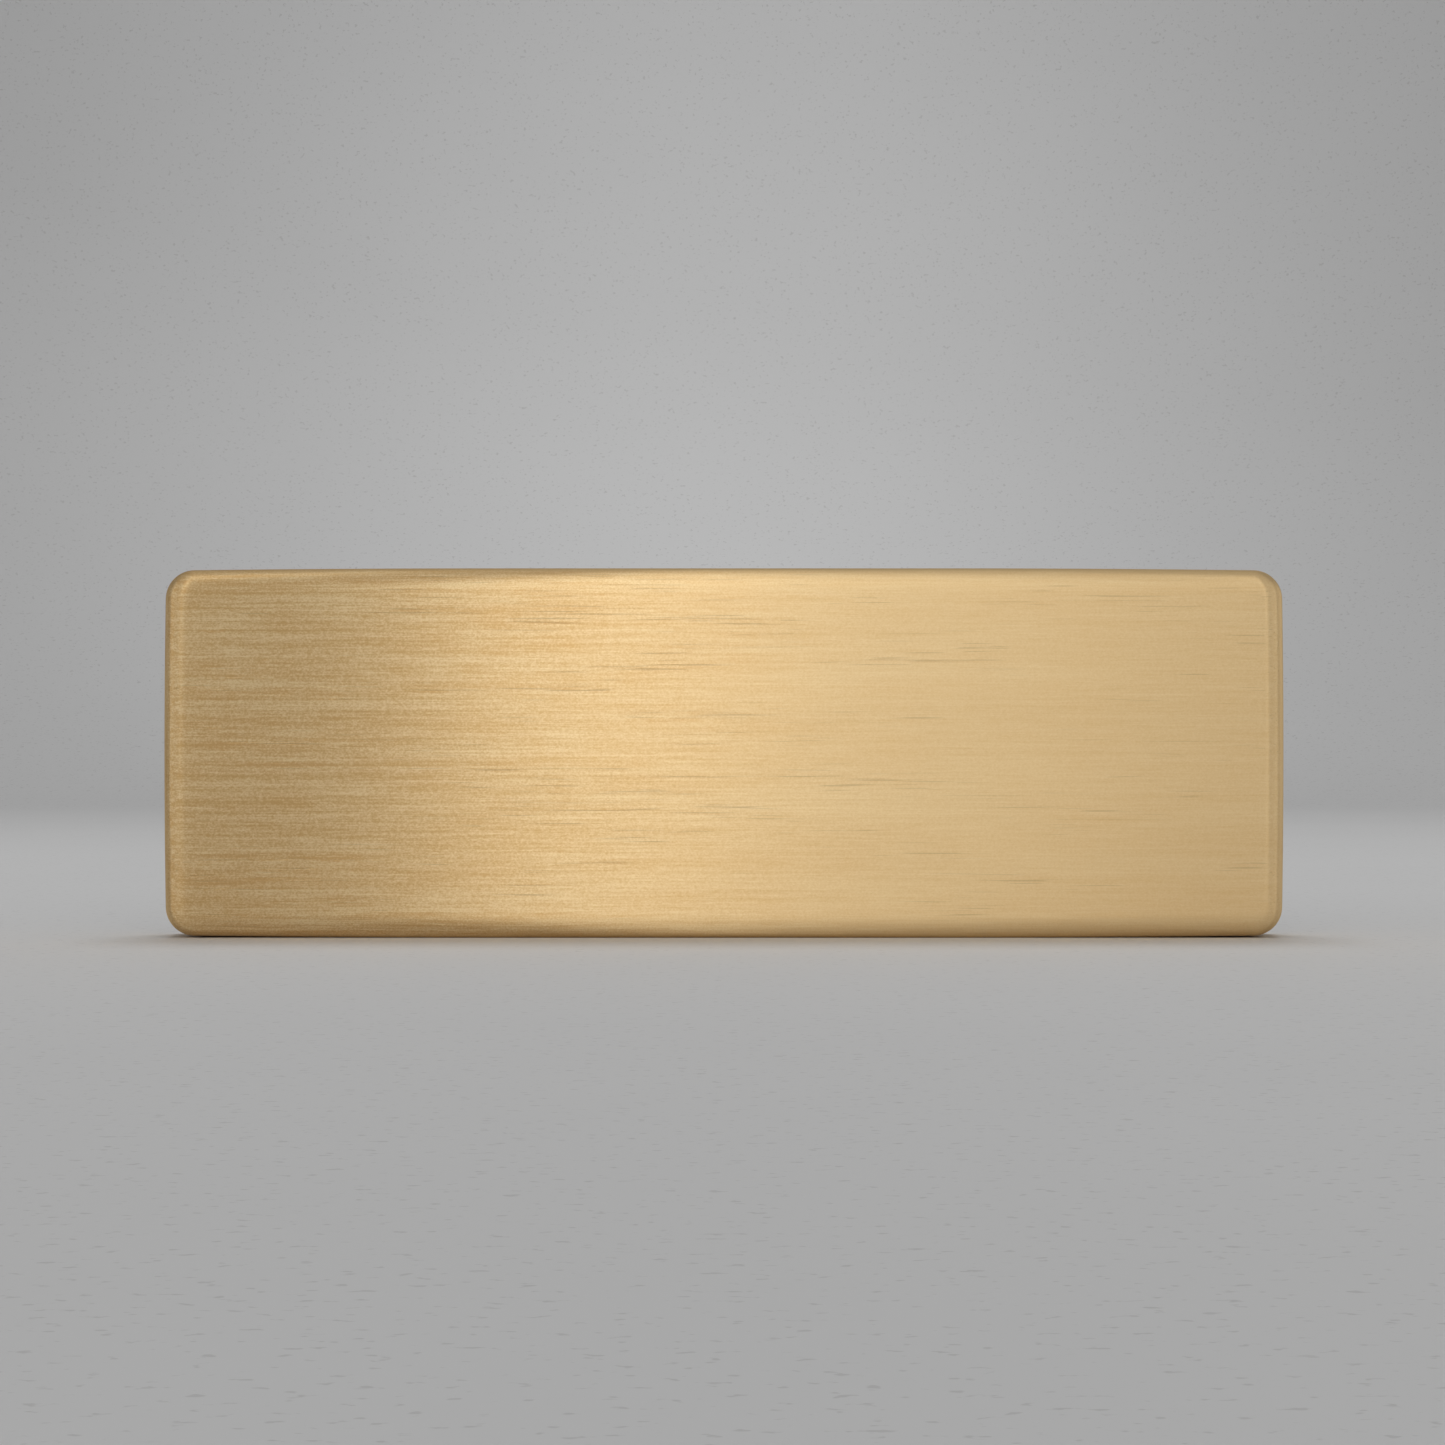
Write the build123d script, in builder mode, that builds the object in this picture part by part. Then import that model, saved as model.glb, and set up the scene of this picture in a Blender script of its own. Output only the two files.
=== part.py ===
"""Solid brass bar paperweight with a felt pad let into its back.

The bar stands on one long edge: X runs along its length, Z up its height and Y through its
thickness. The brushed show face looks along -Y and the felt looks along +Y. The origin is at
the middle of the whole object, at the level that the long edge stands on. Sizes are in
millimetres.
"""

from build123d import *
import os

# Driving dimensions of the bar
bar_length = 100.0  # along X, over the crowned ends
bar_height = 33.0  # along Z, over the flat middles of the long edges
bar_thickness = 10.0  # along Y, from the show face to the back face
flat_run = 40.0  # straight middle of each long edge, which the bar stands on
edge_fall = 0.2  # how far a long edge has fallen away where it would meet the end
end_crown = 0.16  # how far each end bows out between its corners
corner_radius = 2.6  # corners of the outline
rim_radius = 1.2  # rolled rims round the show face and the back face

# Driving dimensions of the pocket in the back, and of what lies in it
land_width = 2.3  # flat brass left between the back rim and the pocket
pocket_depth = 0.9
pocket_corner_radius = 3.0  # radius of the milling cutter
lip_chamfer = 0.2  # broken edge round the pocket's mouth
pad_thickness = 1.2
pad_clearance = 0.15  # gap between the pad's cut edge and the pocket's wall
pad_edge_radius = 0.3  # the pad's outer edge, rounded by wear
film_thickness = 0.15
film_inset = 0.5  # how far the film stays inside the pad's cut edge

# Levels through the thickness. The whole depth, brass and felt, is centred on the origin
pad_proud = film_thickness + pad_thickness - pocket_depth
bar_front = -(bar_thickness + pad_proud) / 2
bar_back = bar_front + bar_thickness
pocket_floor = bar_back - pocket_depth
film_face = pocket_floor + film_thickness
pad_face = film_face + pad_thickness

# The pocket, the pad and the film follow the bar's outline inwards, one inside the other
pocket_margin = rim_radius + land_width
pocket_length = bar_length - 2 * pocket_margin
pocket_height = bar_height - 2 * pocket_margin
pad_length = pocket_length - 2 * pad_clearance
pad_height = pocket_height - 2 * pad_clearance
pad_corner_radius = pocket_corner_radius - pad_clearance
film_length = pad_length - 2 * film_inset
film_height = pad_height - 2 * film_inset
film_corner_radius = pad_corner_radius - film_inset

# Where the unrounded corners of the outline lie, from its centre
corner_x = bar_length / 2 - end_crown
corner_z = bar_height / 2 - edge_fall


def facing(depth):
    """The plane across the thickness at this depth, centred on the bar, facing the show side."""
    return Plane(origin=(0, depth, bar_height / 2), x_dir=(1, 0, 0), z_dir=(0, -1, 0))


# The bar: a slab with slightly crowned edges, its rims rolled over, and a pocket milled in
with BuildPart() as brass_bar:
    with BuildSketch(facing(bar_back)) as outline:
        with BuildLine():
            flat = Line((-flat_run / 2, bar_height / 2), (flat_run / 2, bar_height / 2))
            shoulder = TangentArc(flat @ 1, (corner_x, corner_z), tangent=flat % 1)
            mirror(shoulder, about=Plane.YZ)
            mirror(about=Plane.XZ)
            end = ThreePointArc(shoulder @ 1, (bar_length / 2, 0), (corner_x, -corner_z))
            mirror(end, about=Plane.YZ)
        make_face()
        corners = outline.vertices().group_by(SortBy.DISTANCE)[-1]
        fillet(corners, radius=corner_radius)
    extrude(amount=bar_thickness)
    through = brass_bar.faces().sort_by(Axis.Y)
    fillet(through[0].edges() + through[-1].edges(), radius=rim_radius)
    with BuildSketch(facing(bar_back)):
        RectangleRounded(pocket_length, pocket_height, pocket_corner_radius)
    extrude(amount=pocket_depth, mode=Mode.SUBTRACT)
    mouth = brass_bar.faces().sort_by(Axis.Y)[-1].inner_wires()[0]
    chamfer(mouth.edges(), length=lip_chamfer)

# Double-sided film that holds the pad to the pocket's floor
with BuildPart() as adhesive_film:
    with BuildSketch(facing(film_face)):
        RectangleRounded(film_length, film_height, film_corner_radius)
    extrude(amount=film_thickness)

# Felt pad, which stands a little proud of the brass so that only felt touches the paper
with BuildPart() as felt_pad:
    with BuildSketch(facing(pad_face)):
        RectangleRounded(pad_length, pad_height, pad_corner_radius)
    extrude(amount=pad_thickness)
    fillet(felt_pad.faces().sort_by(Axis.Y)[-1].edges(), radius=pad_edge_radius)

brass_bar.part.label = "brass_bar"
adhesive_film.part.label = "adhesive_film"
felt_pad.part.label = "felt_pad"

os.makedirs("parts", exist_ok=True)
export_step(brass_bar.part, "parts/brass_bar.step")
export_step(adhesive_film.part, "parts/adhesive_film.step")
export_step(felt_pad.part, "parts/felt_pad.step")
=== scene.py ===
# %% [markdown]
# # A brushed brass bar paperweight
#
# The object is one block of solid brass with a felt pad let into its back. Its size, its
# pocket and the places of its pieces come from a CAD model, which is opened here as a fixed
# frame. This notebook makes what the eye judges: the rolled rims, the brushed finish, the
# nap of the felt, and a plain studio to show them in. Every length is in metres.

# %% Open the frame
import bmesh
import bpy
import math
import random
from mathutils import Matrix, Vector, noise
from mathutils.bvhtree import BVHTree
from mathutils.geometry import intersect_sphere_sphere_2d


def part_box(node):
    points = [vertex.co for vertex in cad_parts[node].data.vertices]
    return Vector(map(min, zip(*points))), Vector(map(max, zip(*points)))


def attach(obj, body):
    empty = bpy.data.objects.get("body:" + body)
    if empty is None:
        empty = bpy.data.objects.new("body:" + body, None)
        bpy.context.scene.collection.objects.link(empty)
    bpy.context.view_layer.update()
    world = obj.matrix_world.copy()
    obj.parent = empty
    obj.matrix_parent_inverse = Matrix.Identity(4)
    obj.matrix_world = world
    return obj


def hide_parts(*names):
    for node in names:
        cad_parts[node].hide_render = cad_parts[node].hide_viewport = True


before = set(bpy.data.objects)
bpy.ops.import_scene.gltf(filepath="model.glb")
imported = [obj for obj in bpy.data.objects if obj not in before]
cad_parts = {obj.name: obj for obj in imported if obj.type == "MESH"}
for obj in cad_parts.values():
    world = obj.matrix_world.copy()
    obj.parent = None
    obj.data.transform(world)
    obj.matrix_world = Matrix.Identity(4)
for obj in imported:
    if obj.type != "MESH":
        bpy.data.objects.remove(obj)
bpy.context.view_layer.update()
MM = 0.001

# %% [markdown]
# ## What the frame gives, and what is known of the bar's shape
#
# The boxes of the three nodes say how long, high and thick everything is, and where it lies.
# The few shape values that a box can't give are named here once: how the outline is crowned
# and rounded, how far the rims roll over, and how the pocket's mouth is broken.

# %% Sizes
bar_low, bar_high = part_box("brass_bar")
pad_low, pad_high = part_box("felt_pad")
film_low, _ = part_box("adhesive_film")
bar_size = bar_high - bar_low
pad_size = pad_high - pad_low
bar_middle = (bar_low + bar_high) / 2

FLAT_RUN = 40.0 * MM  # straight middle of each long edge
EDGE_FALL = 0.2 * MM  # how far a long edge has fallen away where it meets the end
END_CROWN = 0.16 * MM  # how far an end bows out between its corners
CORNER_RADIUS = 2.6 * MM
RIM_WIDTH = 2.0 * MM  # how much of a flat the rolled rim takes up
RIM_DEPTH = 1.0 * MM  # how far down the wall the roll reaches
PAD_CLEARANCE = 0.15 * MM
POCKET_RADIUS = 3.0 * MM
LIP = 0.2 * MM  # the broken edge round the pocket's mouth
print("bar", [round(v / MM, 3) for v in bar_size], "pad", [round(v / MM, 3) for v in pad_size])

# %% [markdown]
# ## Drawing an outline with a travelling point
#
# An outline could be typed in as a list of points, but then its roundness would be frozen in.
# Here a single vertex is dragged along instead: straight runs come from extruding it, and
# arcs from spinning it about their centre. One quarter is enough, and two mirrors close it.
# Both outlines below get the same number of steps in each stretch, so that they can be
# bridged to each other point for point.

# %% The travelling point
FLAT_STEPS, SHOULDER_STEPS, CORNER_STEPS, END_STEPS = 8, 12, 18, 8
TOUCHING = 1e-7  # points nearer to each other than this are one point


def run_straight(mesh, vertex, to, steps):
    """Drags a vertex to a place in equal steps and returns the vertex that is there."""
    start = vertex.co.copy()
    for step in range(1, steps + 1):
        vertex = bmesh.ops.extrude_vert_indiv(mesh, verts=[vertex])["verts"][0]
        vertex.co = start.lerp(Vector(to), step / steps)
    return vertex


def run_round(mesh, vertex, centre, angle, steps):
    """Spins a vertex about a centre, clockwise as seen from the show side."""
    drawn = bmesh.ops.spin(
        mesh, geom=[vertex], cent=centre, axis=(0, 1, 0), angle=angle, steps=steps
    )
    return [v for v in drawn["geom_last"] if isinstance(v, bmesh.types.BMVert)][0]


def close_outline(mesh):
    """Mirrors a quarter outline right to left and top to bottom, and merges the seams."""
    for axis in "XZ":
        everything = mesh.verts[:] + mesh.edges[:]
        bmesh.ops.mirror(mesh, geom=everything, merge_dist=TOUCHING, axis=axis)
    bmesh.ops.remove_doubles(mesh, verts=mesh.verts, dist=TOUCHING)


def leaning(offset):
    """The angle of a sideways and upward offset from straight up, towards the right."""
    return math.atan2(offset[0], offset[1])


# %% [markdown]
# ## The bar's outline
#
# A belt-finished block is never a true rectangle. Each long edge of this one is straight in
# the middle and falls away towards the ends, and each end bows out a little. The stretches
# are arcs that meet tangent to tangent, so the corner arc's centre lies where circles drawn
# about the two big centres, one corner radius smaller, cross each other.

# %% Draw the bar's outline
half_length, half_height = bar_size.x / 2, bar_size.z / 2
corner_x, corner_z = half_length - END_CROWN, half_height - EDGE_FALL
shoulder_run = corner_x - FLAT_RUN / 2
shoulder_radius = (shoulder_run**2 + EDGE_FALL**2) / (2 * EDGE_FALL)
end_radius = (corner_z**2 + END_CROWN**2) / (2 * END_CROWN)
shoulder_centre = Vector((FLAT_RUN / 2, half_height - shoulder_radius))
end_centre = Vector((half_length - end_radius, 0))
crossings = intersect_sphere_sphere_2d(
    shoulder_centre, shoulder_radius - CORNER_RADIUS, end_centre, end_radius - CORNER_RADIUS
)
corner_centre = max(crossings, key=lambda point: point.x + point.y)
shoulder_angle = leaning(corner_centre - shoulder_centre)
end_start = leaning(corner_centre - end_centre)


def in_space(point, depth=0.0):
    """A point of the outline's plane, sideways and up, as a place in space."""
    return Vector((point[0], depth, point[1]))


def bar_outline():
    """The closed outline of the bar, centred on the origin, in the plane Y = 0."""
    mesh = bmesh.new()
    pen = mesh.verts.new((0, 0, half_height))
    pen = run_straight(mesh, pen, (FLAT_RUN / 2, 0, half_height), FLAT_STEPS)
    pen = run_round(mesh, pen, in_space(shoulder_centre), shoulder_angle, SHOULDER_STEPS)
    corner_angle = end_start - shoulder_angle
    pen = run_round(mesh, pen, in_space(corner_centre), corner_angle, CORNER_STEPS)
    run_round(mesh, pen, in_space(end_centre), math.pi / 2 - end_start, END_STEPS)
    close_outline(mesh)
    return mesh


bar_mesh = bar_outline()
print("outline points:", len(bar_mesh.verts), "corner centre mm:", corner_centre / MM)

# %% [markdown]
# ## Thickness and rolled rims
#
# The outline is filled and pushed through the bar's thickness. The rims could be drawn as
# more arcs, but the bevel operator does what a maker does: it rolls an existing edge over,
# by a radius, in fine steps. A belt leaves a roll that is wider than it is deep, so the
# round roll is pressed flatter. A narrow border is then inset inside each flat, so that the
# soft shading of the rim stops there and doesn't spread over the flat. The square walls are
# kept in a search tree first, to measure later how far inside them a point lies.

# %% Push through and roll the rims
RIM_STEPS = 16
RIM_BORDER = 0.12 * MM


def lies_at(item, depth):
    """True for a face or an edge whose every point lies at this depth."""
    return all(abs(v.co.y - depth) < TOUCHING for v in item.verts)


show_face = bmesh.ops.contextual_create(bar_mesh, geom=bar_mesh.edges[:])["faces"][0]
pushed = bmesh.ops.extrude_face_region(bar_mesh, geom=[show_face])
pushed_points = [v for v in pushed["geom"] if isinstance(v, bmesh.types.BMVert)]
bmesh.ops.translate(bar_mesh, verts=pushed_points, vec=(0, bar_size.y, 0))
bmesh.ops.recalc_face_normals(bar_mesh, faces=bar_mesh.faces)
walls = bar_mesh.copy()
flats = [f for f in walls.faces if lies_at(f, 0) or lies_at(f, bar_size.y)]
bmesh.ops.delete(walls, geom=flats, context="FACES_ONLY")
wall_finder = BVHTree.FromBMesh(walls)
walls.free()
rim_edges = [e for e in bar_mesh.edges if lies_at(e, 0) or lies_at(e, bar_size.y)]
bmesh.ops.bevel(
    bar_mesh, geom=rim_edges, offset=RIM_WIDTH, offset_type="OFFSET", affect="EDGES",
    segments=RIM_STEPS, profile=0.5, clamp_overlap=False, material=-1,
)
for depth in (0, bar_size.y):
    rolled = [v for v in bar_mesh.verts if abs(v.co.y - depth) < RIM_WIDTH * 1.01]
    about = Matrix.Translation((0, -depth, 0))
    bmesh.ops.scale(bar_mesh, verts=rolled, vec=(1, RIM_DEPTH / RIM_WIDTH, 1), space=about)
    flat = [f for f in bar_mesh.faces if lies_at(f, depth)]
    bmesh.ops.inset_region(bar_mesh, faces=flat, thickness=RIM_BORDER, use_even_offset=True)
print("faces after the rims:", len(bar_mesh.faces))

# %% [markdown]
# ## The pocket for the felt
#
# The felt lies in a shallow pocket with rounded corners, as an end mill leaves it. Cutting
# it with a boolean would leave ragged faces round the mouth. Instead the back's big face is
# taken out, the mouth is drawn with the same steps as the bar's outline, and the two loops
# are bridged. The mouth is then inset downwards to break its edge and pushed in to the floor.

# %% Mill the pocket
pocket_half_length = pad_size.x / 2 + PAD_CLEARANCE
pocket_half_height = pad_size.z / 2 + PAD_CLEARANCE
pocket_depth = bar_high.y - film_low.y


def mouth_outline(half_width, half_rise, radius):
    """The closed outline of a rounded rectangle, stepped like the bar's outline."""
    mesh = bmesh.new()
    pen = mesh.verts.new((0, 0, half_rise))
    pen = run_straight(mesh, pen, (FLAT_RUN / 2, 0, half_rise), FLAT_STEPS)
    pen = run_straight(mesh, pen, (half_width - radius, 0, half_rise), SHOULDER_STEPS)
    centre = (half_width - radius, 0, half_rise - radius)
    pen = run_round(mesh, pen, centre, math.pi / 2, CORNER_STEPS)
    run_straight(mesh, pen, (half_width, 0, 0), END_STEPS)
    close_outline(mesh)
    return mesh


def add_to(target, source):
    """Copies one bmesh into another and returns the vertices that came in."""
    carrier = bpy.data.meshes.new("carrier")
    source.to_mesh(carrier)
    source.free()
    before = set(target.verts)
    target.from_mesh(carrier)
    bpy.data.meshes.remove(carrier)
    return [v for v in target.verts if v not in before]


back_faces = [f for f in bar_mesh.faces if lies_at(f, bar_size.y)]
back_face = max(back_faces, key=lambda f: f.calc_area())
back_loop = back_face.edges[:]
bmesh.ops.delete(bar_mesh, geom=[back_face], context="FACES_ONLY")
mouth = mouth_outline(pocket_half_length + LIP, pocket_half_height + LIP, POCKET_RADIUS + LIP)
mouth_points = add_to(bar_mesh, mouth)
bmesh.ops.translate(bar_mesh, verts=mouth_points, vec=(0, bar_size.y, 0))
mouth_loop = list({e for v in mouth_points for e in v.link_edges})
bmesh.ops.bridge_loops(bar_mesh, edges=back_loop + mouth_loop)
floor_face = bmesh.ops.contextual_create(bar_mesh, geom=mouth_loop)["faces"]
bmesh.ops.recalc_face_normals(bar_mesh, faces=bar_mesh.faces)
bmesh.ops.inset_region(
    bar_mesh, faces=floor_face, thickness=LIP, depth=-LIP, use_even_offset=True
)
pushed = bmesh.ops.extrude_face_region(bar_mesh, geom=floor_face)
pushed_points = [v for v in pushed["geom"] if isinstance(v, bmesh.types.BMVert)]
bmesh.ops.translate(bar_mesh, verts=pushed_points, vec=(0, -(pocket_depth - LIP), 0))
bmesh.ops.delete(bar_mesh, geom=floor_face, context="FACES_ONLY")
print("pocket depth mm:", round(pocket_depth / MM, 3), "faces:", len(bar_mesh.faces))

# %% Check the shell
open_edges = [e for e in bar_mesh.edges if not e.is_manifold]
print("open edges:", len(open_edges), "volume mm3:", round(bar_mesh.calc_volume() / MM**3, 1))

# %% [markdown]
# ## Tidy faces on the flats
#
# The front flat and the pocket's floor are single faces with hundreds of corners. They look
# right, but a face like that can't bend, and it is cut into long slivers when the model is
# sent anywhere else. Planes are passed through them and through the flat land round the
# pocket, as a bread slicer would, and only those faces are cut. The cuts are close together
# near the walls, where the next step bends the metal.

# %% Slice the flats
FLAT_PITCH = 2.5 * MM
NEAR_WALL = [2.5 * MM, 2.9 * MM, 3.4 * MM, 4.0 * MM, 4.8 * MM, 5.8 * MM]
ON_THE_CUT = 0.002 * MM  # points nearer to a cut than this count as on it


def even_cuts(half, pitch):
    """Places at an even pitch on both sides of the middle, short of the half size."""
    count = math.ceil(half / pitch)
    return [step * pitch for step in range(-count + 1, count)]


def graded_cuts(half, pitch, margins):
    """Even cuts in the middle, and cuts at the given margins from both ends."""
    middle_cuts = even_cuts(half - margins[-1] - pitch / 2, pitch)
    return middle_cuts + [side * (half - margin) for side in (-1, 1) for margin in margins]


def slice_faces(mesh, chosen, cuts_x, cuts_z):
    """Cuts the faces that chosen() picks with planes across X and Z at these places."""
    for normal, cuts in ((Vector((1, 0, 0)), cuts_x), (Vector((0, 0, 1)), cuts_z)):
        for cut in cuts:
            faces = [f for f in mesh.faces if chosen(f)]
            touched = {v for f in faces for v in f.verts} | {e for f in faces for e in f.edges}
            bmesh.ops.bisect_plane(
                mesh, geom=faces + list(touched), plane_co=normal * cut, plane_no=normal,
                dist=ON_THE_CUT,
            )


for depth in (0, bar_size.y, bar_size.y - pocket_depth):
    slice_faces(
        bar_mesh, lambda f: lies_at(f, depth), graded_cuts(half_length, FLAT_PITCH, NEAR_WALL),
        graded_cuts(half_height, FLAT_PITCH, NEAR_WALL),
    )
print("faces with sliced flats:", len(bar_mesh.faces))

# %% [markdown]
# ## The maker's hand in the rims
#
# A belt never leaves a flat perfectly flat or a rim perfectly even. Near the walls the belt
# presses harder, so the flat has already begun to fall away before the rim starts, and light
# goes into the rim without a line. The rim itself is a little fuller here and flatter there.
# So every point near the walls sinks by a few hundredths of a millimetre, in a curve that
# gets steeper towards the wall, and the points of the rims also move by slow noise. The
# square walls, and so the edge that the bar stands on, don't move.
#
# Two marks are stored on the points for the finish to read. `rim` is 0 where the surface
# faces square out or back, and 1 where it has turned well away. `end` is 1 where the surface
# faces along the bar, so that the two ends can be brushed the other way.

# %% Soft falls, uneven rims, and a mark for the finish
FALL_DEPTH, FALL_REACH = 0.06 * MM, 5.5 * MM
ROLL_DEPTH, ROLL_PITCH = 0.02 * MM, 14.0 * MM
RIM_BEGINS, RIM_IS_FULL = math.radians(14), math.radians(62)

bar_mesh.normal_update()
rim_mark = bar_mesh.verts.layers.float.new("rim")
end_mark = bar_mesh.verts.layers.float.new("end")
mouth_half = Vector((pocket_half_length, 0, pocket_half_height)) + Vector((LIP, 0, LIP)) * 1.01
for v in bar_mesh.verts:
    square_on = min(1.0, abs(v.normal.y))
    turn = math.acos(square_on)
    v[rim_mark] = min(1.0, max(0.0, (turn - RIM_BEGINS) / (RIM_IS_FULL - RIM_BEGINS)))
    v[end_mark] = abs(v.normal.x)
    in_mouth = abs(v.co.x) < mouth_half.x and abs(v.co.z) < mouth_half.z
    if in_mouth and v.co.y > bar_size.y / 2:
        v[rim_mark] = 1.0
        continue
    _, _, _, inside = wall_finder.find_nearest((v.co.x, bar_size.y / 2, v.co.z))
    nearness = max(0.0, 1 - inside / FALL_REACH)
    towards_middle = 1 if v.co.y < bar_size.y / 2 else -1
    on_the_roll = min(1.0, 4 * (1 - square_on) * square_on)
    unevenness = 0.5 + 0.5 * noise.noise(v.co / ROLL_PITCH)
    v.co.y += towards_middle * FALL_DEPTH * nearness**2
    v.co -= v.normal * ROLL_DEPTH * on_the_roll * unevenness


def finished(name, mesh, place):
    """Makes a smooth-shaded object of a bmesh, moved to its place, and returns it."""
    bmesh.ops.translate(mesh, verts=mesh.verts, vec=place)
    for face in mesh.faces:
        face.smooth = True
    data = bpy.data.meshes.new(name)
    mesh.to_mesh(data)
    mesh.free()
    made = bpy.data.objects.new(name, data)
    bpy.context.scene.collection.objects.link(made)
    return made


SHARP_TURN = math.radians(30)
bar_place = Vector((bar_middle.x, bar_low.y, bar_middle.z))
for edge in bar_mesh.edges:
    edge.smooth = edge.calc_face_angle(0) < SHARP_TURN
bar = finished("bar", bar_mesh, bar_place)
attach(bar, "root")
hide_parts("brass_bar")
print("bar:", len(bar.data.polygons), "faces")

# %% [markdown]
# ## The felt pad
#
# Pressed wool felt is a mat of fibres, so its face is never quite flat and its cut edge is
# soft. It is drawn and pushed through like the bar, its outer edge is rounded, and it is
# sliced finely enough for the mat to be real relief: slow lumps from the pressing and a finer
# nap on top, only a few hundredths of a millimetre high.

# %% Cut and press the felt
PAD_EDGE = 0.3 * MM
FELT_PITCH = 0.5 * MM
LUMP_PITCH, LUMP_HEIGHT = 3.5 * MM, 0.03 * MM
NAP_PITCH, NAP_HEIGHT = 0.8 * MM, 0.035 * MM
NAP_SHIFT = Vector((0, 7, 0))  # so that the nap doesn't follow the lumps
FELT_RELIEF = 0.7  # how much of the lumps and the nap is left by the pressing

pad_radius = POCKET_RADIUS - PAD_CLEARANCE
felt_mesh = mouth_outline(pad_size.x / 2, pad_size.z / 2, pad_radius)
felt_face = bmesh.ops.contextual_create(felt_mesh, geom=felt_mesh.edges[:])["faces"][0]
pushed = bmesh.ops.extrude_face_region(felt_mesh, geom=[felt_face])
pushed_points = [v for v in pushed["geom"] if isinstance(v, bmesh.types.BMVert)]
bmesh.ops.translate(felt_mesh, verts=pushed_points, vec=(0, pad_size.y, 0))
bmesh.ops.recalc_face_normals(felt_mesh, faces=felt_mesh.faces)
outer_edges = [e for e in felt_mesh.edges if lies_at(e, pad_size.y)]
bmesh.ops.bevel(
    felt_mesh, geom=outer_edges, offset=PAD_EDGE, offset_type="OFFSET", affect="EDGES",
    segments=4, profile=0.5, clamp_overlap=False, material=-1,
)
slice_faces(
    felt_mesh, lambda f: lies_at(f, pad_size.y), even_cuts(pad_size.x / 2, FELT_PITCH),
    even_cuts(pad_size.z / 2, FELT_PITCH),
)
felt_mesh.normal_update()
for v in felt_mesh.verts:
    if v.co.y > pad_size.y / 2:
        lump = noise.noise(v.co / LUMP_PITCH) * LUMP_HEIGHT
        nap = noise.noise(v.co / NAP_PITCH + NAP_SHIFT) * NAP_HEIGHT
        v.co += v.normal * (lump + nap - LUMP_HEIGHT - NAP_HEIGHT) * FELT_RELIEF
pad_place = Vector(((pad_low.x + pad_high.x) / 2, pad_low.y, (pad_low.z + pad_high.z) / 2))
felt = finished("felt", felt_mesh, pad_place)
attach(felt, "root")
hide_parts("felt_pad")
print("felt:", len(felt.data.polygons), "faces")

# %% [markdown]
# ## Loose fibres
#
# What makes felt look like wool and not like rubber is the fuzz: single fibres that have
# worked loose from the mat. They could be a particle system, but that is hard to keep the
# same from run to run, and it isn't a mesh. Here a few bent fibres are drawn, each a thin
# three-sided tube with thin tips, and copies of them are planted over the pad at random
# places and turns. The random draws are seeded, so the felt is always the same.

# %% Draw and plant the fibres
FIBRE_THICKNESS = 0.024 * MM
FIBRE_STEPS = 4
FIBRE_PATTERNS = 12
FIBRES_PLANTED = 2600
FIBRE_RADII, FIBRE_BENDS = (0.5, 1.6), (35, 75)  # millimetres and degrees
TIP_SHARE = 0.3  # how thick a tip is, where the middle is 1
LEANING = 70  # how far a fibre may lean out of upright, in degrees
PLANTING_MARGIN = 0.9 * MM
PLANTING_DEPTH = 0.06 * MM
draw = random.Random(11)


def fibre(radius, angle):
    """A three-sided tube bent round an arc, its ends on the level X = 0 and thinned."""
    mesh = bmesh.new()
    start = Matrix.Rotation(angle / 2, 4, "Y") @ Matrix.Translation((radius, 0, 0))
    bmesh.ops.create_circle(
        mesh, cap_ends=True, segments=3, radius=FIBRE_THICKNESS / 2, matrix=start
    )
    bmesh.ops.spin(
        mesh, geom=mesh.faces[:], cent=(0, 0, 0), axis=(0, 1, 0), angle=-angle, steps=FIBRE_STEPS
    )
    for ring in (mesh.verts[:3], mesh.verts[-3:]):
        centre = sum((v.co for v in ring), Vector()) / 3
        about = Matrix.Translation(-centre)
        bmesh.ops.scale(mesh, verts=ring, vec=Vector.Fill(3, TIP_SHARE), space=about)
    level = -radius * math.cos(angle / 2)
    bmesh.ops.translate(mesh, verts=mesh.verts, vec=(level, 0, 0))
    bmesh.ops.recalc_face_normals(mesh, faces=mesh.faces)
    return mesh


patterns = []
for number in range(FIBRE_PATTERNS):
    pattern = bpy.data.meshes.new("pattern")
    drawn = fibre(draw.uniform(*FIBRE_RADII) * MM, math.radians(draw.uniform(*FIBRE_BENDS)))
    drawn.to_mesh(pattern)
    drawn.free()
    patterns.append(pattern)

fuzz_mesh = bmesh.new()
reach_x, reach_z = pad_size.x / 2 - PLANTING_MARGIN, pad_size.z / 2 - PLANTING_MARGIN
for number in range(FIBRES_PLANTED):
    place = Vector((draw.uniform(-reach_x, reach_x), pad_size.y - PLANTING_DEPTH, 0))
    place.z = draw.uniform(-reach_z, reach_z)
    heading = Matrix.Rotation(draw.uniform(0, 2 * math.pi), 4, "Y")
    upright = Matrix.Rotation(math.radians(90 + draw.uniform(-LEANING, LEANING)), 4, "Z")
    planted = draw.choice(patterns).copy()
    planted.transform(Matrix.Translation(place) @ heading @ upright)
    fuzz_mesh.from_mesh(planted)
    bpy.data.meshes.remove(planted)
for pattern in patterns:
    bpy.data.meshes.remove(pattern)
fuzz = finished("felt_fuzz", fuzz_mesh, pad_place)
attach(fuzz, "root")
print("fibres:", FIBRES_PLANTED, "faces:", len(fuzz.data.polygons))

# %% [markdown]
# ## Writing finishes as arithmetic
#
# A finish is a small network of nodes. Placing nodes one by one hides what they work out, so
# two helpers stand in between. A `Signal` is a socket that Python arithmetic can be written
# on, and each sum or product adds its Math node. A `Finish` is one material with one way of
# adding every other node.

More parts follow.
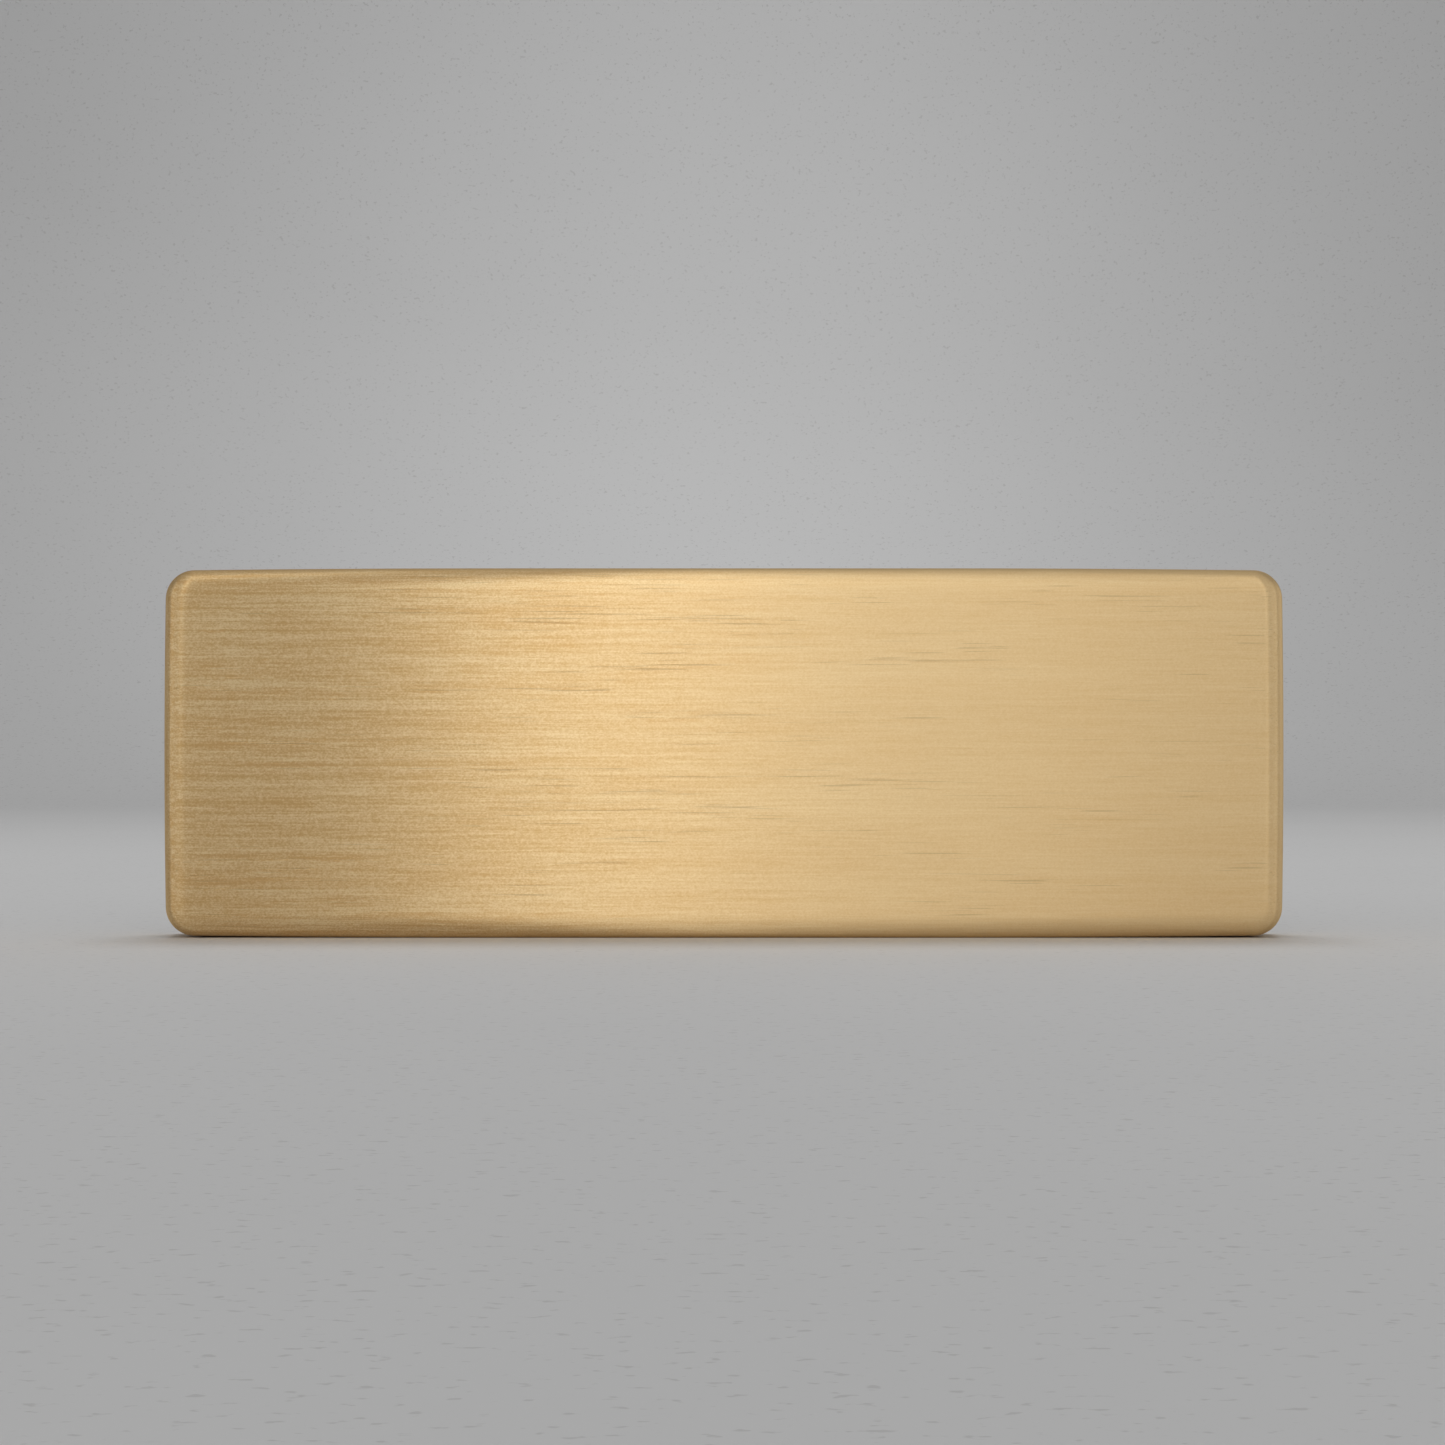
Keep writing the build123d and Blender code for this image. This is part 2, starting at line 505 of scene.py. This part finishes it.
# %% Signals and finishes
class Signal:
    """A shader socket that sums, products and comparisons can be written on."""

    def __init__(self, finish, socket):
        self.finish = finish
        self.socket = socket

    def maths(self, operation, *values):
        return self.finish.node("Math", {"operation": operation}, dict(enumerate(values)))

    def __add__(self, other):
        return self.maths("ADD", self, other)

    def __sub__(self, other):
        return self.maths("SUBTRACT", self, other)

    def __rsub__(self, other):
        return self.maths("SUBTRACT", other, self)

    def __mul__(self, other):
        return self.maths("MULTIPLY", self, other)

    __radd__, __rmul__ = __add__, __mul__


class Finish:
    """A material and the one way in which nodes are added to it."""

    def __init__(self, name):
        self.material = bpy.data.materials.new(name)
        self.material.use_nodes = True
        self.tree = self.material.node_tree
        self.tree.nodes.clear()

    def node(self, kind, settings=None, inputs=None, out=0):
        """Adds a node, sets it up, feeds its sockets and returns one of its outputs."""
        added = self.tree.nodes.new("ShaderNode" + kind)
        for name, value in (settings or {}).items():
            if name == "stops":
                for element, (position, colour) in zip(added.color_ramp.elements, value):
                    element.position, element.color = position, colour
            else:
                setattr(added, name, value)
        for name, value in (inputs or {}).items():
            if isinstance(value, Signal):
                self.tree.links.new(value.socket, added.inputs[name])
            else:
                added.inputs[name].default_value = value
        return Signal(self, added.outputs[out])

    def place(self, scale, shift=(0, 0, 0)):
        """Object coordinates, stretched and shifted."""
        where = self.node("TexCoord", out="Object")
        return self.node("Mapping", {}, {"Vector": where, "Scale": scale, "Location": shift})

    def speckle(self, scale, shift=(0, 0, 0), detail=2.0, roughness=0.5):
        """Noise from 0 to 1, as fine along each axis as its scale, in cells a metre."""
        inputs = {"Vector": self.place(scale, shift), "Scale": 1.0}
        inputs |= {"Detail": detail, "Roughness": roughness}
        return self.node("TexNoise", {"normalize": True}, inputs)

    def between(self, value, low, high):
        """0 below low, 1 above high and a smooth rise between them."""
        inputs = {"Value": value, "From Min": low, "From Max": high}
        return self.node("MapRange", {"interpolation_type": "SMOOTHSTEP"}, inputs)

    def mark(self, name):
        """A mark that was stored on the mesh's points."""
        return self.node("Attribute", {"attribute_name": name}, out="Fac")

    def mix(self, share, first, second):
        """Two colours in proportion."""
        settings = {"data_type": "RGBA", "clamp_factor": True}
        return self.node("Mix", settings, {0: share, 6: first, 7: second}, out=2)

    def relief(self, height, depth, below=None):
        """A surface normal from a height of 0 to 1 that stands for a depth in metres."""
        inputs = {"Height": height, "Distance": depth, "Strength": 1.0}
        if below is not None:
            inputs["Normal"] = below
        return self.node("Bump", {}, inputs)

    def metal_or_cloth(self, **inputs):
        """The shader of a surface, with its sockets named with underscores for spaces."""
        named = {name.replace("_", " "): value for name, value in inputs.items()}
        return self.node("BsdfPrincipled", {"distribution": "MULTI_GGX"}, named)

    def output(self, surface):
        """Ends the network and returns the material."""
        end = self.tree.nodes.new("ShaderNodeOutputMaterial")
        self.tree.links.new(surface.socket, end.inputs["Surface"])
        return self.material


# %% [markdown]
# ## Brushed brass
#
# Brushing leaves thousands of scratches side by side. Light that falls across them is thrown
# wide, and light along them is hardly spread at all, so the shader is strongly anisotropic.
# The scratches that are wide enough to see are drawn as well, as noise stretched hard along
# the stroke: broad strokes, fine lines, and a fine grain where the belt's grit lifted out.
# They shade and roughen the metal together, and the lines are grooves too. Towards the left
# end the lines are drawn stronger and the metal is painted darker, which is painted shade, and
# both fade to faint at the right end. Sparse deeper scratches lie on top all over. The two ends
# were brushed along their height.
#
# The rims and walls were buffed after the brushing, so there the lines are nearly gone and
# the gloss is even. A Mix Shader carries one finish into the other by the `rim` mark.

# %% Brass finish
BRASS = (0.85, 0.652, 0.365, 1.0)
# The next colour is the darker tone of the lines, and also the colour of the painted shade
# towards the left end.
BRASS_SHADE = (0.65, 0.408, 0.170, 1.0)
SCRATCH_BROWN = (0.40, 0.26, 0.12, 1.0)
STROKE_DEPTH = 0.0011 * MM
SCRATCH_DEPTH = 0.006 * MM
FAINTEST = 0.28  # how strong the lines and the painted shade are at the right end, where the left end is 1
LINES_AND_SHADE_FULL_UNTIL, LINES_AND_SHADE_FAINTEST_FROM = -40 * MM, 24 * MM  # stronger lines and painted shade are full left of the first place, faintest right of the second
LEFT_BY_BUFFING = 0.35  # how much of the lines the buffing left
LINE_CONTRAST, GRAIN_CONTRAST, PATCH_CONTRAST = 3.7, 1.9, 0.3
# The second value here is painted shade: how much darker the metal is painted at the left end.
MEAN_SHADE, PAINTED_SHADE_AT_LEFT = 0.55, 0.25
SCRATCH_STRENGTH = 0.36


def lines(finish, along, pitch, length, shift, **noise_settings):
    """Noise drawn out along one axis: lines of a pitch and a length, in metres."""
    scale = [1 / pitch] * 3
    scale[along] = 1 / length
    return finish.speckle(scale, shift, **noise_settings)


brass = Finish("brushed_brass")
rim = brass.between(brass.mark("rim"), 0.0, 1.0)
sideways = brass.node("SeparateXYZ", {}, {0: brass.node("TexCoord", out="Object")})
# Painted shade and stronger lines: full at the left end, fading to faint at the right.
lines_and_shade_fade = brass.between(sideways, LINES_AND_SHADE_FULL_UNTIL, LINES_AND_SHADE_FAINTEST_FROM)
lines_and_painted_shade = 1 - lines_and_shade_fade * (1 - FAINTEST)
broad = lines(brass, 0, 0.42 * MM, 20 * MM, (3, 5, 1), detail=2.0, roughness=0.6)
fine = lines(brass, 0, 0.18 * MM, 6 * MM, (11, 2, 8), detail=3.0, roughness=0.7)
grain = lines(brass, 0, 0.12 * MM, 0.17 * MM, (1, 9, 4), detail=1.0)
patches = lines(brass, 0, 6 * MM, 30 * MM, (6, 6, 2), detail=1.0)
across = lines(brass, 2, 0.2 * MM, 9 * MM, (7, 7, 5), detail=3.0, roughness=0.7)
ends = brass.between(brass.mark("end"), 0.4, 0.9)
strokes = (broad * 0.4 + fine * 0.6) * (1 - ends) + across * ends
lines_left = lines_and_painted_shade * (1 - (1 - LEFT_BY_BUFFING) * rim)
shade = ((strokes - 0.5) * LINE_CONTRAST + (grain - 0.5) * GRAIN_CONTRAST) * lines_left
# The last term is painted shade, which darkens the metal towards the left end.
shade = shade + patches * PATCH_CONTRAST + MEAN_SHADE - lines_and_painted_shade * PAINTED_SHADE_AT_LEFT
colour = brass.mix(shade, BRASS_SHADE, BRASS)
scratch_lines = lines(brass, 0, 0.12 * MM, 8 * MM, (4, 1, 17), detail=1.0)
scratch_places = brass.speckle((60, 60, 420), (2, 2, 2))
scratches = brass.between(scratch_lines, 0.65, 0.71) * brass.between(scratch_places, 0.48, 0.56)
brushed_only = 1 - rim
colour = brass.mix(scratches * brushed_only * SCRATCH_STRENGTH, colour, SCRATCH_BROWN)
grooves = brass.relief(strokes * brushed_only * lines_and_painted_shade, STROKE_DEPTH)
grooves = brass.relief(1 - scratches * brushed_only, SCRATCH_DEPTH, grooves)
brushed = brass.metal_or_cloth(
    Base_Color=colour, Metallic=1.0, Roughness=0.38 + 0.08 * strokes,
    Anisotropic=1.0, Anisotropic_Rotation=0.25, Normal=grooves,
)
buffed = brass.metal_or_cloth(
    Base_Color=colour, Metallic=1.0, Roughness=0.48 + 0.05 * broad,
)
surface = brass.node("MixShader", {}, {0: rim, 1: brushed, 2: buffed})
bar.data.materials.append(brass.output(surface))
print("brass:", len(brass.tree.nodes), "nodes")

# %% [markdown]
# ## Wool felt
#
# Felt is dark, matt and slightly hairy. Its colour is never quite even, because the wool is
# a blend. Fibres too short to draw catch light at a glancing angle, which the sheen stands
# for, and their relief is finer than the mesh can hold, so a bump adds it. The loose fibres
# have the same finish.

# %% Felt finish
FELT_DARK = (0.035, 0.033, 0.031, 1.0)
FELT_LIGHT = (0.10, 0.095, 0.09, 1.0)

wool = Finish("wool_felt")
mat_of_fibres = wool.speckle((5200, 5200, 5200), detail=4.0, roughness=0.7)
clumps = wool.speckle((420, 420, 420), (3, 0, 7), detail=3.0)
shade = wool.between(mat_of_fibres * 0.8 + clumps * 0.2, 0.34, 0.66)
nap = wool.relief(mat_of_fibres, 0.05 * MM)
felt_surface = wool.metal_or_cloth(
    Base_Color=wool.mix(shade, FELT_DARK, FELT_LIGHT), Roughness=0.85 + 0.1 * clumps,
    Sheen_Weight=0.35, Sheen_Roughness=0.45, Normal=nap,
)
felt.data.materials.append(wool.output(felt_surface))
fuzz.data.materials.append(wool.material)

# %% [markdown]
# ## The adhesive film
#
# The film's shape is right as the CAD model has it, a thin sheet that the felt hides, so its
# node stays and only gets a finish: pale, slightly blotchy glue on a clear carrier.

# %% Film finish
GLUE_THICK = (0.78, 0.74, 0.62, 1.0)
GLUE_THIN = (0.88, 0.86, 0.78, 1.0)

glue = Finish("clear_adhesive")
blotches = glue.speckle((600, 600, 600), detail=3.0)
film_surface = glue.metal_or_cloth(
    Base_Color=glue.mix(blotches, GLUE_THICK, GLUE_THIN),
    Roughness=0.35 + 0.25 * blotches, Normal=glue.relief(blotches, 0.01 * MM),
)
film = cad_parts["adhesive_film"]
film.data.materials.clear()
film.data.materials.append(glue.output(film_surface))

# %% [markdown]
# ## Camera
#
# The object is seen square on with a long lens. The camera is level and its eye is a little
# above the middle of the bar, so the bar lies slightly below the middle of the picture.

# %% Camera
VIEW_WIDTH = 129.1 * MM  # how much of the world, at the bar's widest section, fills the picture
CAMERA_DISTANCE = 0.45
EYE_ABOVE_MIDDLE = 2.72 * MM
EYE_LEFT = 0.13 * MM

lens = bpy.data.cameras.new("camera")
lens.sensor_width = 36.0
lens.lens = lens.sensor_width * CAMERA_DISTANCE / VIEW_WIDTH
lens.clip_start, lens.clip_end = 0.01, 20.0
camera = bpy.data.objects.new("camera", lens)
bpy.context.scene.collection.objects.link(camera)
widest = bar_low.y + RIM_DEPTH
camera.location = (-EYE_LEFT, widest - CAMERA_DISTANCE, bar_middle.z + EYE_ABOVE_MIDDLE)
camera.rotation_euler = (math.pi / 2, 0, 0)
bpy.context.scene.camera = camera
print("lens mm:", round(lens.lens, 1))

# %% [markdown]
# ## A pale studio
#
# The stage is a shallow bowl: a flat floor that curves up into a wall all round, so that any
# view has the same plain background and the metal has something pale to mirror. It is one
# spun profile, and its paper is a little mottled, with a few darker flecks.

# %% Floor and wall
FLOOR_RADIUS, COVE_RADIUS, WALL_HEIGHT = 0.7, 0.35, 0.9
PAPER_GREY = (0.80, 0.80, 0.80, 1.0)
PAPER_SHADE = (0.76, 0.76, 0.76, 1.0)
FLECK_GREY = (0.45, 0.44, 0.43, 1.0)

bowl = bmesh.new()
pen = bowl.verts.new((0, 0, 0))
pen = run_straight(bowl, pen, (FLOOR_RADIUS, 0, 0), 4)
pen = run_round(bowl, pen, (FLOOR_RADIUS, 0, COVE_RADIUS), -math.pi / 2, 12)
run_straight(bowl, pen, (FLOOR_RADIUS + COVE_RADIUS, 0, WALL_HEIGHT), 3)
bmesh.ops.spin(
    bowl, geom=bowl.verts[:] + bowl.edges[:], cent=(0, 0, 0), axis=(0, 0, 1),
    angle=2 * math.pi, steps=96, use_merge=True,
)
bmesh.ops.remove_doubles(bowl, verts=bowl.verts, dist=1e-5)
bmesh.ops.recalc_face_normals(bowl, faces=bowl.faces)
stage = finished("stage", bowl, (0, 0, 0))

paper = Finish("studio_paper")
mottle = paper.speckle((9, 9, 9), detail=3.0)
flecks = paper.between(paper.speckle((1100, 1100, 1100)), 0.62, 0.70)
paper_colour = paper.mix(mottle, PAPER_SHADE, PAPER_GREY)
paper_colour = paper.mix(flecks * 0.35, paper_colour, FLECK_GREY)
stage.data.materials.append(
    paper.output(paper.metal_or_cloth(Base_Color=paper_colour, Roughness=0.9))
)

# %% [markdown]
# ## Soft light
#
# Brushed metal spreads each light into a broad band across the lines, so the lights decide
# what the finish looks like. Small sharp lamps would draw hard stripes. Here every light is a
# panel, as in a product studio, and there are three kinds.
#
# Large panels far off light everything, in front and behind. Two more only light the stage,
# which a light's receiver collection allows: one hangs behind the bar, so that the bar throws
# a small shadow forward at its foot, and one makes the wall glow in the middle.
#
# Near cards light only the bar, so the floor stays evenly pale. The wide card makes the right
# of the face glow and leaves the left in shade, and the middle card and the narrow leaning
# strip build the brightest band. The others bring out the rims, the ends and the upper left
# corner. Cards that overlap hang at different distances, because two in one plane hide each
# other.

# %% Lights
def panel(name, place, aim, size, power, lean=0.0):
    """A soft rectangular light at a place, turned to face a point and leant sideways."""
    lamp = bpy.data.lights.new(name, "AREA")
    lamp.shape = "RECTANGLE"
    lamp.size, lamp.size_y = size
    lamp.energy = power
    held = bpy.data.objects.new(name, lamp)
    facing = (Vector(aim) - Vector(place)).to_track_quat("-Z", "Y").to_matrix().to_4x4()
    leant = Matrix.Rotation(math.radians(lean), 4, "Z")
    held.matrix_world = Matrix.Translation(place) @ facing @ leant
    held.visible_camera = False
    bpy.context.scene.collection.objects.link(held)
    return held


middle = tuple(bar_middle)
panel("softbox", (0.0, -0.75, 0.35), middle, (0.8, 0.5), 0.62)
panel("back_softbox", (0.15, 0.75, 0.45), middle, (0.8, 0.5), 0.2)
panel("top_light", (0.0, 0.0, 0.9), (0, 0, 0), (0.6, 0.6), 0.40)

stage_only = bpy.data.collections.new("stage_only")
stage_only.objects.link(stage)
stage_lights = [
    panel("floor_light", (0.0, 0.30, 0.70), (0, 0, 0), (0.3, 0.3), 1.3),
    panel("wall_wash", (0.0, 0.80, 0.25), (0.0, 1.0, 0.16), (0.08, 0.25), 0.11),
]
for light in stage_lights:
    light.light_linking.receiver_collection = stage_only
print("lights on the stage alone:", len(stage_lights))

# %% Near cards, which light only the weight
weight_only = bpy.data.collections.new("weight_only")
for piece in (bar, felt, fuzz, film):
    weight_only.objects.link(piece)


def face_card(name, x, distance, z, size, power, lean=0.0):
    """A card in front of the show face, square on to it."""
    return panel(name, (x, -distance, z), (x, 0, z), size, power, lean)


near_cards = [
    face_card("wide_card", 0.047, 0.176, 0.10, (0.16, 0.12), 0.078),
    face_card("middle_card", 0.009, 0.171, 0.10, (0.09, 0.12), 0.024, -10),
    face_card("strip", -0.012, 0.166, 0.06, (0.035, 0.10), 0.0185, -18),
    panel("left_fill", (-0.19, -0.33, 0.16), middle, (0.18, 0.24), 0.012),
    panel("corner_card", (-0.080, -0.10, 0.11), (-0.05, 0.0, 0.03), (0.035, 0.06), 0.006),
    panel("rim_card", (-0.055, -0.10, 0.10), (-0.04, 0.0, 0.033), (0.07, 0.03), 0.006),
    panel("left_card", (-0.18, -0.15, 0.06), middle, (0.17, 0.12), 0.075),
    panel("right_card", (0.18, -0.15, 0.06), middle, (0.17, 0.12), 0.075),
    panel("end_card", (0.20, 0.01, 0.06), middle, (0.12, 0.10), 0.018),
]
for card in near_cards:
    card.light_linking.receiver_collection = weight_only
print("cards:", len(near_cards))

# %% [markdown]
# ## The sky
#
# Everything that no panel covers is filled by an even grey sky, the last soft light. The view
# transform is the plain one, so that a colour in the picture is the colour that was worked out.

# %% Sky
SKY_COLOUR = (1.0, 1.0, 1.0, 1.0)
SKY_STRENGTH = 0.275
world = bpy.data.worlds.new("sky")
world.use_nodes = True
background = world.node_tree.nodes["Background"]
background.inputs["Color"].default_value = SKY_COLOUR
background.inputs["Strength"].default_value = SKY_STRENGTH
bpy.context.scene.world = world
bpy.context.scene.view_settings.view_transform = "Standard"
